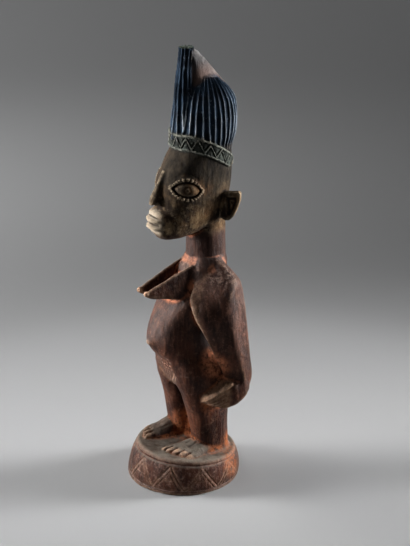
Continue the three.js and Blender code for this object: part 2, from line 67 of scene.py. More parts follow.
# On the plinth's side, in shares of its height: each border groove's place and half-width with its depth
# in millimetres, and the frieze between them
BORDER_GROOVES = [(0.857, 0.035, 0.8), (0.12, 0.03, 0.75)]
FRIEZE_TOP = 0.82
FRIEZE_SHARE = 0.66

HAIR_RIBS = 31
COLUMN_RIBS = 13
RIB_DEPTH = 1.15

BAND_PROUD = 1.2
BAND_HEIGHT = 10.3
BAND_BORDER = 1.2
BAND_TRIANGLES = 16

# The eyes lie on the head's side, at an angle from straight ahead seen from a place in its middle
EYE_ANGLE = math.radians(48)
EYE_CENTRE_Y = 9.5
EYE_ORBIT = 22.4
EYE_Z = 175
EYE_TILT = 0.12
EYE_HALF_LENGTH = 9.5
EYE_HALF_HEIGHT = 5.2
EYE_RIM_WIDTH = 2.0
EYE_NOTCHES = 26

EAR_THICKNESS = 4.6
EAR_SCOOP_DEPTH = 1.8
EAR_TURN = math.radians(47)

LIP_HEIGHTS = (150, 154.8)

NIPPLE = (4.5, -28, 108)
NIPPLE_RADIUS = 1.9

FINGER_WIDTH = 2.5
TOES = 5
TOES_WIDTH = 19.6

# How far apart the rows of nicks below the belly are, and the nicks in a row
NICK_ROWS = 2.6
NICK_PITCH = 2.7

NECK_Y = 17.4
NECK_LOW = 112
NECK_HIGH = 162

# Widths of the knife's broad and fine cuts
BROAD_CUT = 5.2
FINE_CUT = 2.6

# How far the mesh's attributes look round each place, for creases, for hollows and for deep recesses
NOOK_REACH = 1.0
HOLLOW_REACH = 4.5
RECESS_REACH = 10
MARK_REACH = 0.5

# Where red powder has gathered most, those at the hips also painted light: a place over the underside's
# centre and how far it spreads
POWDER_STAINS_AND_HIP_LIGHT = [
    ((22, 11, 83), 13), ((-22, 11, 83), 7), ((22, 6, 56), 8), ((-22, 6, 56), 6), ((-3, 4, 34), 12),
    ((-5, 6, 28), 12), ((20, 24, 24), 11), ((30, 18, 14), 12), ((-26, 22, 20), 9),
]

# Distances are only kept this near the surface
FAR = 12.0

# ---------------------------------------------------------------- grid

LOW = np.array([-38.0, -38.0, -2.0])
HIGH = np.array([38.0, 39.0, 287.0])
AXES = [np.arange(low, high, STEP, dtype=np.float32) for low, high in zip(LOW, HIGH)]
wood = np.full([len(axis) for axis in AXES], FAR, np.float32)
marks = {name: np.zeros_like(wood) for name in ("hair", "band", "rib", "crest", "rubbed")}


def window(low, high):
    """The grid's cells between two corners, with their x, y and height over the plinth's middle top."""
    cut = tuple(
        slice(max(int((a - o) / STEP), 0), max(int((b - o) / STEP) + 2, 1))
        for a, b, o in zip(low, high, LOW)
    )
    x, y, z = (axis[part] for axis, part in zip(AXES, cut))
    return cut, x[:, None, None], y[None, :, None], z[None, None, :] - np.float32(PLINTH_HEIGHT)


def least(a, b, soft):
    """The smaller of two distances, with the crease between them filled over about soft millimetres."""
    soft = np.maximum(soft, 0.001)
    h = np.maximum(soft - np.abs(a - b), 0) / soft
    return np.minimum(a, b) - h * h * (soft / 4)


def most(a, b, soft):
    return -least(-a, -b, soft)


def even(d):
    """Rough distances, scaled so that they change by one per millimetre."""
    d = np.clip(d, -FAR, FAR)
    parts = np.gradient(d, STEP)
    return d / np.clip(np.sqrt(sum(part * part for part in parts)), 0.35, 4)


def join(cut, d, soft, **given):
    """Adds a body to the wood, with the marks that its surface carries."""
    here = wood[cut]
    for name, grid in marks.items():
        grid[cut] = np.where(d < here, given.get(name, 0.0), grid[cut])
    wood[cut] = least(here, d, soft)


def carve(cut, d, soft):
    wood[cut] = most(wood[cut], -d, soft)


def step(low, high, value):
    t = np.clip((value - low) / (high - low), 0, 1)
    return t * t * (3 - 2 * t)


def bump(value, width):
    """1 at 0, falling smoothly to 0 at the width on both sides."""
    return 1 - step(0, width, np.abs(value))


def wave(phase):
    """Distance in pitches from the nearest whole number, from 0 to 0.5."""
    return np.abs(phase - np.round(phase))


# ---------------------------------------------------------------- forms

def through(along, values, at):
    """A smooth curve through the values that never swings past them."""
    along, values = np.asarray(along, float), np.asarray(values, float)
    gaps = np.diff(along)
    slopes = np.diff(values) / gaps
    tangents = np.zeros(len(along))
    tangents[0], tangents[-1] = slopes[0], slopes[-1]
    for i in range(1, len(along) - 1):
        if slopes[i - 1] * slopes[i] > 0:
            tangents[i] = 2 / (1 / slopes[i - 1] + 1 / slopes[i])
    at = np.clip(at, along[0], along[-1])
    i = np.clip(np.searchsorted(along, at) - 1, 0, len(gaps) - 1)
    t = (at - along[i]) / gaps[i]
    h = gaps[i]
    return (
        (2 * t**3 - 3 * t**2 + 1) * values[i]
        + (t**3 - 2 * t**2 + t) * h * tangents[i]
        + (3 * t**2 - 2 * t**3) * values[i + 1]
        + (t**3 - t**2) * h * tangents[i + 1]
    ).astype(np.float32)


def columns(stations, at):
    """Each column of a table of stations, as a smooth curve over its first column."""
    table = np.array(stations, float)
    return [through(table[:, 0], table[:, i], at) for i in range(1, table.shape[1])]


def rounded(u, v, a, front, back, n):
    """Distance to a rounded section of half-width a that reaches front and back of v = 0."""
    reach = np.where(v < 0, front, back)
    p, q = np.abs(u) / a, np.abs(v) / reach
    g = np.maximum((p**n + q**n) ** (1 / n), 0.05)
    rise = g ** (1 - n) * np.sqrt((p ** (n - 1) / a) ** 2 + (q ** (n - 1) / reach) ** 2)
    return (g - 1) / np.maximum(rise, 0.01)


def ends(d, along, stations, soft=0.0):
    """The same body closed at its first and last station."""
    first, last = stations[0][0], stations[-1][0]
    return most(d, np.maximum(first - along, along - last), soft)


def faceted(u, v, corners, soft):
    """Distance to a convex section with softened corners, given anticlockwise."""
    d = None
    for (u0, v0), (u1, v1) in zip(corners, corners[1:] + corners[:1]):
        length = np.sqrt((u1 - u0) ** 2 + (v1 - v0) ** 2)
        edge = ((v1 - v0) * (u - u0) - (u1 - u0) * (v - v0)) / length
        d = edge if d is None else most(d, edge, soft)
    return d


def outline(u, v, corners):
    """Signed distance to a flat outline."""
    d, inside = np.full(np.broadcast(u, v).shape, 1e6), np.ones(np.broadcast(u, v).shape)
    for (x0, y0), (x1, y1) in zip(corners, corners[-1:] + corners[:-1]):
        ex, ey, wx, wy = x1 - x0, y1 - y0, u - x0, v - y0
        t = np.clip((wx * ex + wy * ey) / (ex * ex + ey * ey), 0, 1)
        d = np.minimum(d, (wx - ex * t) ** 2 + (wy - ey * t) ** 2)
        above, below, left = v >= y0, v < y1, ex * wy > ey * wx
        flip = (above & below & left) | (~above & ~below & ~left)
        inside = np.where(flip, -inside, inside)
    return inside * np.sqrt(d)


# ---------------------------------------------------------------- the figure

# Stations are in millimetres over the plinth's middle top: height, y, half-width, front, back, power
TRUNK = [
    (39.5, 9, 21, 15.5, 15.5, 2.6), (43, 8.5, 24, 18, 18, 2.6), (48, 8, 24.8, 19.5, 19.5, 2.6),
    (55.5, 6.5, 23.4, 21.3, 20.5, 2.5), (61, 4, 20.8, 20.8, 21.2, 2.4), (65, 1, 19.2, 21.2, 20.8, 2.3),
    (70, -1.5, 18.2, 21, 20, 2.2), (76, -2.7, 17.6, 19.6, 19.2, 2.1), (81, -1.9, 17.6, 19.6, 19.7, 2.1),
    (86.5, -0.2, 17.9, 20.2, 20.2, 2.1), (93.5, 2.5, 19, 19.2, 20, 2.2), (101.5, 6, 20, 17, 19, 2.4),
    (110, 10, 18, 13.4, 16.5, 2.4), (118.5, 12, 15, 12.4, 14, 2.2), (123.5, 16, 14, 12, 11, 2.2),
    (126.3, 17, 13.4, 10.8, 10, 2.2),
]
# Distance in front of the axis, height, half-width, down, up, power
BELLY = [
    (8, 75, 17, 9.5, 20, 2), (17, 74, 13.5, 8.2, 16, 2), (21.2, 73.4, 8.6, 5.4, 10, 2),
    (23.8, 73.2, 4.2, 2.9, 5, 2), (25.8, 72.9, 1.3, 1, 1.5, 2),
]
LEG = [
    (-5, 11.6, 9.8, 11.2, 11.6, 2.5), (6, 11.4, 10.2, 11.8, 11.8, 2.5), (15.5, 10.5, 10.4, 12.6, 12.7, 2.5),
    (25.5, 9.9, 10.5, 14.2, 14.2, 2.5), (35.5, 9, 10.6, 16.2, 16, 2.5), (45, 8.2, 10.6, 18.2, 17.5, 2.5),
    (52, 7.5, 9.5, 18, 17, 2.5),
]
LEG_X = 12.8
# Height, inner, outer, front, facet, rise, widest, back
ARM = [
    (31.5, 26.5, 33, 16, 2, 0.6, 17.4, 19.6), (36, 25, 35.6, 15.5, 3.4, 1, 20.6, 26.6),
    (42, 24.2, 36.2, 15, 4.2, 1.6, 23.2, 31.8), (50.5, 24.2, 36.2, 14.4, 4.2, 1.6, 24.4, 33.8),
    (63.5, 23.8, 35.9, 8.6, 4.2, 2, 21, 32.6), (77.5, 22.6, 35.2, 2.8, 4.2, 2.2, 18.2, 31.3),
    (95.5, 20.4, 34, -5.5, 4.4, 3, 15.8, 30.2), (103.5, 17.5, 33, -7, 5.4, 6.6, 15.8, 29.9),
    (111.5, 13, 32.4, -4.6, 7.2, 9.2, 16.8, 29.8), (115.5, 10.5, 30.4, -2.7, 7.9, 10.1, 17.8, 28.3),
    (118.5, 8.5, 27, -0.6, 8.6, 11, 18.6, 26.4), (123, 7, 22, 3.4, 8, 9.4, 18.4, 23.6),
    (126, 6, 16, 7, 6.5, 6, 17.2, 22.2),
]
# Distance in front of the axis, x, height, half-width, down, up, power
FOREARM = [
    (-30, 30.5, 43.5, 3.4, 4, 4, 2.6), (-26, 30.5, 41.5, 5.6, 6.2, 6.5, 2.8),
    (-20, 29.6, 40, 6.1, 9, 7.6, 3), (-15, 28.2, 38.4, 5.4, 9.4, 8, 3), (-10, 26.4, 37, 4.4, 7.2, 5.6, 2.8),
    (-5, 24.6, 36.4, 3.4, 4.6, 3.2, 2.6), (-1.8, 23, 36.2, 1.9, 2.2, 1.6, 2.4),
]
# Share of the foot's reach, half-width, up, power
FOOT = [
    (-0.29, 8, 9.5, 2.4), (0, 10, 14, 2.2), (0.42, 9.8, 11.5, 2.2), (0.66, 9.8, 8.2, 2.4),
    (0.88, 9.6, 6.6, 2.8), (1, 8.6, 5.4, 2.8),
]
# y, x, top, low, inner, outer
BREAST = [
    (4, 7.4, 122.6, 100, 0.4, 15.5), (-4, 6.7, 120, 101.6, 0.7, 13.8), (-16, 5.7, 114.8, 103.4, 1.2, 10.4),
    (-25, 4.8, 111, 104.6, 2, 7.8), (-28.2, 4.5, 109.4, 105.6, 2.7, 6.4),
]
HEAD = [
    (141, -7, 6.5, 9.5, 11, 2.4), (145, -3, 10.4, 15.5, 17, 2.5), (151.5, 4, 13.6, 22, 21, 2.4),
    (160.5, 8, 15.8, 25, 22, 2.3), (170.5, 9.5, 17.2, 25.5, 22.5, 2.3), (180.5, 11, 17.6, 24.5, 22, 2.3),
    (189.5, 12, 17.7, 21.5, 21, 2.2), (198, 13.5, 17.3, 18.6, 19.4, 2), (204, 14, 16.4, 17.5, 18, 2),
]
HAIR = [
    (186, 13, 17, 17.8, 18.8, 2), (198, 14, 17.5, 18.8, 20.4, 2), (206, 15.3, 18.7, 21, 21, 2.1),
    (214, 17, 18.8, 20.4, 20, 2.1), (226, 17.8, 17.3, 18.6, 18.3, 2.1), (232.5, 17.8, 14.4, 15.4, 14.6, 2.1),
    (238, 17.5, 10.6, 11.4, 9.7, 2), (241.5, 16.6, 6.8, 7.6, 6.4, 2), (243, 16, 3, 3.6, 3, 2),
]
COLUMN = [
    (203, 2.8, 9.6, 9.8, 9, 2), (211, 2.4, 8.9, 8.9, 8.6, 2), (220.5, 2, 7.4, 7.4, 7.4, 2),
    (230.5, 2, 6.4, 6.4, 6.4, 2), (240.5, 2.2, 5.6, 5.5, 5.6, 2), (250.5, 2.9, 5, 4.8, 5, 2),
    (260, 4, 5, 5, 5, 2),
]
CREST = [
    (214, 15, 12, 10, 22, 2.2), (226, 15, 9.5, 10, 21, 2.2), (231, 14.5, 8.4, 9, 18.7, 2.2),
    (236, 13.5, 7.2, 8, 15.6, 2.2), (241, 12, 6, 6.5, 13, 2.2), (246.5, 10, 5.2, 4.5, 10.6, 2.2),
    (251, 7.8, 4.6, 2, 8.6, 2.2), (257.5, 5.6, 3.6, 2, 4.8, 2.2),
]
NOSE = [
    (164, -13.5, 4.6, 9.3, 6, 2.2), (167, -13, 4.4, 9.4, 6, 2.2), (175, -12, 3, 6.6, 6, 2.2),
    (185, -10.5, 2.3, 2.6, 6, 2.2),
]
MOUTH = [
    (144.5, -9.5, 8, 9.5, 6, 3.2), (147.5, -9.5, 9.2, 11.2, 6, 3.4), (158, -9.5, 9, 11.2, 6, 3.4),
    (161, -9.5, 7.4, 9.5, 6, 3),
]
LIP = [
    (-2.2, -11.5, 7, 9, 6, 2.4), (-0.6, -11.5, 9.4, 12.3, 6, 2.4), (0.8, -11.5, 9.2, 12.2, 6, 2.4),
    (2, -11.5, 7.4, 9.3, 6, 2.4),
]
# Outlines across and up the ear's face
EAR = [
    (-9, 9.2), (3.4, 9.8), (4.8, 8.6), (4.6, 4), (2.6, -2), (0.4, -6.4), (-2.4, -9.2), (-5, -9.4), (-9, -7),
]
EAR_SCOOP = [(-4.4, 6.2), (2.4, 6.6), (2.6, 3), (0.8, -2.4), (-1.4, -5.6), (-3.6, -5.8)]


def plinth():
    cut, x, y, z = window((-38, -38, -2), (38, 38, 34))
    z = z + PLINTH_HEIGHT
    top = PLINTH_HEIGHT - PLINTH_DROP + PLINTH_SLOPE_X * x + PLINTH_SLOPE_Y * y
    share = z / top
    dx, dy = x - PLINTH_LEAN_X * share, y - PLINTH_LEAN_Y * share
    flare = PLINTH_FOOT_RADIUS + (PLINTH_RIM_RADIUS - PLINTH_FOOT_RADIUS) * share
    side = np.hypot(dx, dy) - flare - PLINTH_BULGE * 4 * share * (1 - share)
    sunk = sum(depth * bump(share - at, half) for at, half, depth in BORDER_GROOVES)
    # The frieze: nested chevrons, each closed by a crossbar
    angle = np.degrees(np.arctan2(dy, dx)) - PLINTH_CHEVRON_PHASE
    pitch = 360 / PLINTH_CHEVRONS
    i = np.round(angle / pitch)
    across = (angle - i * pitch + 0.9 * np.sin(i * 2.4)) / pitch
    fall = (FRIEZE_TOP - share) / FRIEZE_SHARE
    flank = np.abs(across) - 0.5 * fall
    height = FRIEZE_SHARE * PLINTH_HEIGHT
    width = pitch * math.radians(1) * PLINTH_MEAN_RADIUS
    # Millimetres square to a flank for each pitch along the frieze
    mm = width * (height / np.hypot(height, 0.5 * width))
    inside = step(FRIEZE_TOP, 0.8, share) * step(0.14, 0.17, share)
    lines = bump(flank * mm, 0.75) + 0.8 * bump((flank + 0.13) * mm, 0.6) * step(0.14, 0.2, fall)
    bar = 0.8 * bump((fall - 0.62) * height, 0.6) * step(0.02, -0.02, flank + 0.14)
    cuts = np.clip(np.maximum(lines, bar), 0, 1)
    uneven = 0.5 + 0.16 * np.sin(angle * 0.13 + 1) + 0.1 * np.sin(z * 0.9 + angle * 0.2)
    d = most(side + (sunk + uneven * cuts * inside), z - top, 1.6)
    d = most(d, UNDERSIDE_INSET - z, 1.0)
    join(cut, d, 0, rubbed=0.5 * cuts * inside)


def upright(stations, x, y, z, soft=0.0):
    """Rough distance to a body of rounded sections over one another, closed at both ends."""
    centre, a, front, back, n = columns(stations, z)
    return ends(rounded(x, y - centre, a, front, back, n), z, stations, soft)


def trunk():
    cut, x, y, z = window((-30, -28, 58), (30, 34, 156))
    join(cut, even(upright(TRUNK, x, y, z)), 1.5)


def belly():
    cut, x, y, z = window((-22, -32, 80), (22, 2, 128))
    centre, a, front, back, n = columns(BELLY, -y)
    d = ends(rounded(x, z - centre, a, front, back, n), -y, BELLY, 0.4)
    join(cut, even(d), 2.5)


def leg(side, stride):
    cut, x, y, z = window((side * 13 - 14, -18, 16), (side * 13 + 14, 30, 82))
    centre, a, front, back, n = columns(LEG, z)
    centre = centre + stride * np.maximum(1 - z / 45, 0)
    d = ends(rounded(side * x - LEG_X, y - centre, a, front, back, n), z, LEG)
    join(cut, even(d), 3.6)


def neck():
    cut, x, y, z = window((-17, 0, 132), (17, 34, 190))
    radius = through([NECK_LOW, 121, 126, NECK_HIGH], [13.5, 13.5, 12.7, 12.4], z)
    d = np.sqrt(x * x + (y - NECK_Y) ** 2) - radius
    d = np.maximum(d, np.maximum(NECK_LOW - z, z - NECK_HIGH))
    join(cut, even(d), 1.2)


def arm(side):
    """Shoulder and upper arm, a knife-cut section with a facet in front, painted paler there as a highlight.
    """
    low, high = sorted((side * 2, side * 39))
    cut, x, y, z = window((low, -9, 52), (high, 38, 154))
    inner, outer, front, facet, rise, widest, back = columns(ARM, z)
    edge = inner + 0.62 * (outer - inner)
    corners = [(inner, front), (inner + facet, front + rise), (outer, widest), (edge, back), (inner, back)]
    d = ends(faceted(side * x, y, corners, 2.4 + 4 * step(104, 118, z)), z, ARM, 1.5)
    # A pale strip down the front facet: a painted highlight
    worn = 0.25 * step(front + rise + 1.0, front + rise - 0.5, y) * step(60, 100, z)
    join(cut, even(d), 1.6, rubbed=worn)


def forearm(side):
    low, high = sorted((side * 19, side * 38))
    cut, x, y, z = window((low, 0, 50), (high, 35, 78))
    middle, centre, a, front, back, n = columns(FOREARM, -y)
    d = ends(rounded(side * x - middle, z - centre, a, front, back, n), -y, FOREARM, 1.0)
    # The hand slants down forwards. Its thumb lies along the top, with a gap between it and the fingers.
    top = 45.4 - (13.5 - y) * 0.74
    share = (top - z - 2.7) / FINGER_WIDTH
    groove = bump(wave(share) * FINGER_WIDTH, 0.8) * (share > 0.5) * step(15, 12, y)
    thumb = step(0.1, -0.15, share) * step(20, 17, y)
    gap = bump(share, 0.3) * step(20, 16, y)
    d = even(d) + 0.75 * groove - 0.6 * thumb + 0.8 * gap
    # The thumb and the fingers' ridges are painted paler: rubbed wear, and painted light on the hand
    join(cut, d, 0.9, rubbed=np.maximum(thumb, np.clip(1 - 1.8 * groove, 0, 1) * step(17, 13, y)))


def breast(side):
    low, high = sorted((side * -2, side * 18))
    cut, x, y, z = window((low, -31, 122), (high, 8, 152))
    stations = [(-y, *rest) for y, *rest in BREAST]
    middle, top, under, inner, outer = columns(stations, -y)
    shoulder = under + 0.24 * (top - under)
    u = side * x
    corners = [
        (inner + 1, under), (outer - 1, under), (outer, shoulder),
        (middle + 0.5, top), (middle - 0.5, top), (inner, shoulder),
    ]
    join(cut, even(ends(faceted(u, z, corners, 1.0), -y, stations, 1.2)), 1.2)
    tip = np.sqrt(sum((place - at) ** 2 for place, at in zip((u, y, z), NIPPLE))) - NIPPLE_RADIUS
    join(cut, tip, 0.6, rubbed=1.0)


def foot(side, middle, stride, turn, reach, spread, slant, fullness):
    """A foot turned out by turn degrees. slant draws its little toe back, and spread widens it forwards."""
    low, high = sorted((0, side * 34))
    cut, x, y, z = window((low - 1, -34, 16), (high + 1, 28, 44))
    turn = math.radians(turn)
    dx, dy = side * x - middle, y - 11.4 - stride
    across = math.cos(turn) * dx + math.sin(turn) * dy
    ahead = -(-math.sin(turn) * dx + math.cos(turn) * dy)
    ahead = np.where(ahead > 0, ahead / (1 - slant * across / reach), ahead)
    up = z - PLINTH_SLOPE_X * x - PLINTH_SLOPE_Y * y + PLINTH_DROP + 2
    share = ahead / reach
    across = across / (1 + (spread - 1) * np.clip(share, 0, 1.1))
    toe = (across + TOES_WIDTH / 2) / TOES_WIDTH * TOES
    share = share + 0.03 * step(0.25, 0.5, wave(toe - 0.5)) + 0.012 * np.sin(toe * 2.1)
    a, back, n = columns(FOOT, share)
    back = 2 + (back - 2) * fullness
    d = rounded(across, up, a, 3.0, back, n)
    d = most(d, np.maximum(-0.29 - share, share - 1) * reach, 1.6)
    split = bump(wave(toe) * 3.9, 1.0) * (toe > 0.5) * (toe < TOES - 0.5)
    d = even(d) + 1.5 * split * step(0.78, 0.9, share) + 0.25 * bump((share - 0.84) * reach, 1.2)
    join(cut, d, 0.9, rubbed=step(0.8, 0.9, share) * step(0.4, 1.4, wave(toe) * 3.9))


def eye_relief(along, rise):
    """Height of the eye's carving over the face: a notched rim, a groove and a low ball with a ring."""
    half = EYE_HALF_HEIGHT * np.abs(np.cos(np.clip(along / EYE_HALF_LENGTH, -1, 1) * math.pi / 2)) ** 0.75
    over = np.maximum(np.abs(along) - EYE_HALF_LENGTH, 0)
    lid = np.sqrt(over**2 + np.maximum(np.abs(rise) - half, 0) ** 2)
    inner = np.minimum(half - np.abs(rise), EYE_HALF_LENGTH - np.abs(along))
    out = np.where(inner > 0, -inner, lid)
    rim = step(-0.15, 0.25, out) * step(EYE_RIM_WIDTH + 0.5, EYE_RIM_WIDTH, out)
    turn = np.arctan2(rise * 1.8, along)
    notch = bump(wave(turn * EYE_NOTCHES / (2 * math.pi)), 0.3) * step(-0.1, 0.4, out)
    ball = np.sqrt(np.clip(1 - (along / 8.0) ** 2 - (rise / 4.6) ** 2, 0, 1))
    ring = bump(np.hypot(along, rise) - 2.0, 0.5)
    pupil = bump(np.hypot(along, rise), 0.7)
    return (
        1.35 * rim - 1.1 * rim * notch + 1.5 * ball - 0.45 * ring - 0.5 * pupil
        - 0.35 * step(0.0, -0.4, out) * step(-1.6, -0.8, out)
    )


def head():
    cut, x, y, z = window((-22, -26, 163), (22, 38, 231))
    d = even(upright(HEAD, x, y, z, 2.0))
    along = (np.arctan2(np.abs(x), EYE_CENTRE_Y - y) - EYE_ANGLE) * EYE_ORBIT
    rise = z - EYE_Z + EYE_TILT * along
    ahead = step(12, 6, y)
    d = d - eye_relief(along, rise) * ahead
    # A scored brow over each eye
    brow = bump(rise - 9.6 + 0.045 * along**2, 0.6) * step(11, 9, np.abs(along))
    d = d + 0.35 * brow * ahead
    join(cut, d, 1.0)


def face():
    cut, x, y, z = window((-14, -29, 164), (14, 0, 213))
    join(cut, even(upright(NOSE, x, y, z, 1.4)), 1.2)
    join(cut, even(upright(MOUTH, x, y, z, 2.0)), 1.6)
    for height in LIP_HEIGHTS:
        join(cut, even(upright(LIP, x, y, z - height, 1.0)), 0.5)
    # Nostrils and the wings' edges
    for side in (1, -1):
        hole = np.sqrt((side * x - 2) ** 2 + (y + 20.5) ** 2 + (z - 163.6) ** 2) - 1.1
        carve(cut, hole, 0.4)
        wing = np.sqrt((side * x - 4.7) ** 2 + ((z - 168.5) * 0.6) ** 2 + ((y + 17) * 0.35) ** 2) - 0.6
        carve(cut, wing, 0.6)


def ear(side):
    low, high = sorted((side * 6, side * 30))
    cut, x, y, z = window((low, 14, 172), (high, 38, 198))
    px, py = side * x - 17.6, y - 27.4
    u = px * math.cos(EAR_TURN) + py * math.sin(EAR_TURN)
    out = px * math.sin(EAR_TURN) - py * math.cos(EAR_TURN)
    v = z - 160.8
    slab = most(outline(u, v, EAR), np.maximum(-out, out - EAR_THICKNESS), 1.2)
    scoop = outline(u, v, EAR_SCOOP)
    # The scoop has a low ridge round it, inside its edge
    depth = step(0.5, -1.2, scoop) * EAR_SCOOP_DEPTH - 0.7 * bump(scoop + 2.6, 0.7)
    join(cut, most(slab, out - EAR_THICKNESS + depth, 0.6), 0.8)


def ribs(d, x, y, z, count, depth, phase=0.0):
    """Cuts upright grooves round a body, leaving narrow ridges. Also gives 1 on a ridge and 0 in a groove."""
    turn = np.arctan2(y, x) / (2 * math.pi) * count + phase
    i = np.round(turn)
    turn = turn + 0.05 * np.sin(z * 0.11 + i * 2.3) + 0.03 * np.sin(z * 0.31 + i * 4.1)
    pitch = 2 * math.pi * np.hypot(x, y) / count
    ridge = 1 - step(0.06, 0.28, wave(turn))
    worn = 0.18 * np.sin(z * 0.23 + i * 1.7) * ridge
    return d + depth * np.clip(pitch / 2.4, 0, 1) * (1 - ridge + np.maximum(worn, 0)), ridge


def coiffure():
    cut, x, y, z = window((-21, -8, 209), (21, 38.5, 268.5))
    centre, a, front, back, n = columns(HAIR, z)
    d = even(ends(rounded(x, y - centre, a, front, back - HAIR_INSET, n), z, HAIR, 2.0))
    top = step(241.5, 239.5, z)
    spread = 0.45 + 0.55 * a / 18
    d, ridge = ribs(d, x / spread, (y - 17) / spread, z, HAIR_RIBS, RIB_DEPTH * top)
    join(cut, d, 0.4, hair=1.0, rib=ridge * top, crest=0.6 * (1 - top))
    cut, x, y, z = window((-14, -10, 226), (14, 14, 286))
    centre, a, front, back, n = columns(COLUMN, z)
    d = even(ends(rounded(x, y - centre, a, front, back, n), z, COLUMN, 0.8))
    d, ridge = ribs(d, x, y - centre, z, COLUMN_RIBS, RIB_DEPTH, 0.3)
    join(cut, d, 0.3, hair=1.0, rib=ridge * step(261, 259.6, z))
    cut, x, y, z = window((-15, -2, 238), (15, 38.5, 284))
    d = even(upright(CREST, x, y, z, 1.6))
    # A small ring on the crest's left face
    knot = np.hypot(y - 14.1, z - 250.4) + 9 * (x < 0)
    join(cut, d - 0.4 * bump(knot - 2.0, 0.6) + 0.5 * bump(knot, 1.2), 0.8, crest=1.0)


def band():
    cut, x, y, z = window((-22, -9, 210), (22, 37, 236))
    v = y - 14
    turn = np.arctan2(v / 19.2, x / 17.6)
    g = np.hypot(x / 17.6, v / 19.2)
    d = (g - 1) * 18.4
    fall = np.maximum(y, 0)
    share = (z - (208 - 0.32 * fall - 0.008 * fall**2)) / BAND_HEIGHT + 1
    height = (share - 0.5) * BAND_HEIGHT
    edge = np.abs(height) - BAND_HEIGHT / 2
    # A raised zigzag between two rows of sunk triangles, inside plain borders
    tooth = wave(turn / (2 * math.pi) * BAND_TRIANGLES) * 2
    line = np.abs((tooth - 0.5) * 6.4 - height + 0.25 * np.sin(turn * 9))
    border = BAND_HEIGHT / 2 - BAND_BORDER
    pit = step(0.45, 1.0, line) * step(border, border - 0.5, np.abs(height))
    d = most(d - BAND_PROUD, edge * 0.9, 1.0) + 0.95 * pit - 0.5 * step(2.0, 2.6, line) * (pit > 0)
    join(cut, d, 0.5, band=1.0)


def front_marks():
    """Incised lines below the belly: a pointed double line and short rows of nicks."""
    cut, x, _, z = window((-14, -20, 62), (14, -4, 96))
    u = np.abs(x)
    line = (z - 37.5 - u * 1.1) / math.hypot(1, 1.1)
    deep = 0.95 * bump(line, 0.7) * step(12, 11, u) + 0.8 * bump(line - 2.3, 0.65) * step(11, 10, u)
    row = np.round(z / NICK_ROWS)
    # Each row starts a little further along than the one below it
    along = x + 1.3 * row + 0.5 * np.sin(row * 3.1)
    nick = bump(wave(z / NICK_ROWS) * NICK_ROWS, 0.7) * step(0.16, 0.26, wave(along / NICK_PITCH))
    patch = step(3.2, 4.2, line) * step(64, 62, z) * step(10.5, 9, u)
    wood[cut] += deep + 0.75 * nick * patch
    rubbed = marks["rubbed"]
    rubbed[cut] = np.maximum(rubbed[cut], 0.7 * np.clip(deep, 0, 1) + 0.35 * nick * patch)


plinth()
trunk()
belly()
neck()
for side in (1, -1):
    arm(side)
    forearm(side)
    breast(side)
leg(1, 1.2)
leg(-1, -2)
foot(1, 13.4, 1.2, 9, 30, 1.2, 0.36, 0.6)
foot(-1, 14.6, -2, 1, 30.7, 0.76, 0.5, 1)
front_marks()
head()
face()
for side in (1, -1):
    ear(side)
coiffure()
band()

# ---------------------------------------------------------------- tool marks


def scallops(p, size, seed):
    """Distance from each place to the nearest of scattered points, about 0 to 1, with that point's level."""
    cell = np.floor(p / size)
    part = p / size - cell
    near, level = np.full(len(p), 9.0, np.float32), np.zeros(len(p), np.float32)
    for dx in (-1, 0, 1):
        for dy in (-1, 0, 1):
            for dz in (-1, 0, 1):
                c = cell + (dx, dy, dz)
                h = c @ np.array([127.1, 311.7, 74.7]) + seed
                j = [np.modf(np.abs(np.sin(h + k) * 43758.5453))[0] for k in (0.0, 1.7, 3.9)]
                gap = np.stack([dx + j[0], dy + j[1], dz + j[2]], 1) - part
                d = (gap * gap).sum(1)
                closer = d < near
                near = np.where(closer, d, near)
                level = np.where(closer, j[0], level)
    return np.sqrt(near), level


def knife_facets():
    """Shallow cuts all over but the coiffure, softer on the head and feet. They only take wood away."""
    skin = np.argwhere(np.abs(wood) < 1.6)
    at = tuple(skin.T)
    p = (skin * STEP + LOW).astype(np.float32)
    plain = 1 - np.clip(marks["hair"][at] + marks["band"][at], 0, 1)
    head = step(164, 170, p[:, 2])
    foot = step(30, 24, p[:, 2])
    near, level = scallops(p * (1, 1, 0.42), BROAD_CUT, 3.0)
    d = 0.34 * (near - 0.55) + 0.16 * (level - 0.5)
    near, _ = scallops(p * (1, 1, 0.6), FINE_CUT, 8.0)
    d = d + 0.12 * (near - 0.55)
    swell = np.sin(p[:, 2] * 0.19 + p[:, 0] * 0.13) + np.sin(p[:, 2] * 0.083 - p[:, 1] * 0.21 + 1.3)
    wood[at] += np.maximum(d + 0.06 * swell + 0.1, 0) * plain * (1 - 0.4 * head) * (1 - 0.3 * foot)


knife_facets()

# ---------------------------------------------------------------- mesh


def blurred(grid, radius):
    """The grid averaged over a box, twice."""
    cells = max(int(round(radius / STEP)), 1)
    out = grid
    for _ in range(2):
        for axis in range(3):
            pad = [(0, 0)] * 3
            pad[axis] = (cells + 1, cells)
            total = np.cumsum(np.pad(out, pad, mode="edge"), axis=axis, dtype=np.float32)
            ahead = [slice(None)] * 3
            behind = [slice(None)] * 3
            ahead[axis] = slice(2 * cells + 1, None)
            behind[axis] = slice(0, -(2 * cells + 1))
            out = (total[tuple(ahead)] - total[tuple(behind)]) / (2 * cells + 1)
    return out


def sampled(grid, points):
    """The grid's values at points in millimetres, between its cells."""
    at = (points - LOW) / STEP
    i = np.clip(np.floor(at).astype(int), 0, np.array(grid.shape) - 2)
    t = at - i
    value = 0
    for corner in range(8):
        o = np.array([corner & 1, corner >> 1 & 1, corner >> 2 & 1])
        weight = np.prod(np.where(o, t, 1 - t), axis=1)
        value = value + weight * grid[i[:, 0] + o[0], i[:, 1] + o[1], i[:, 2] + o[2]]
    return value


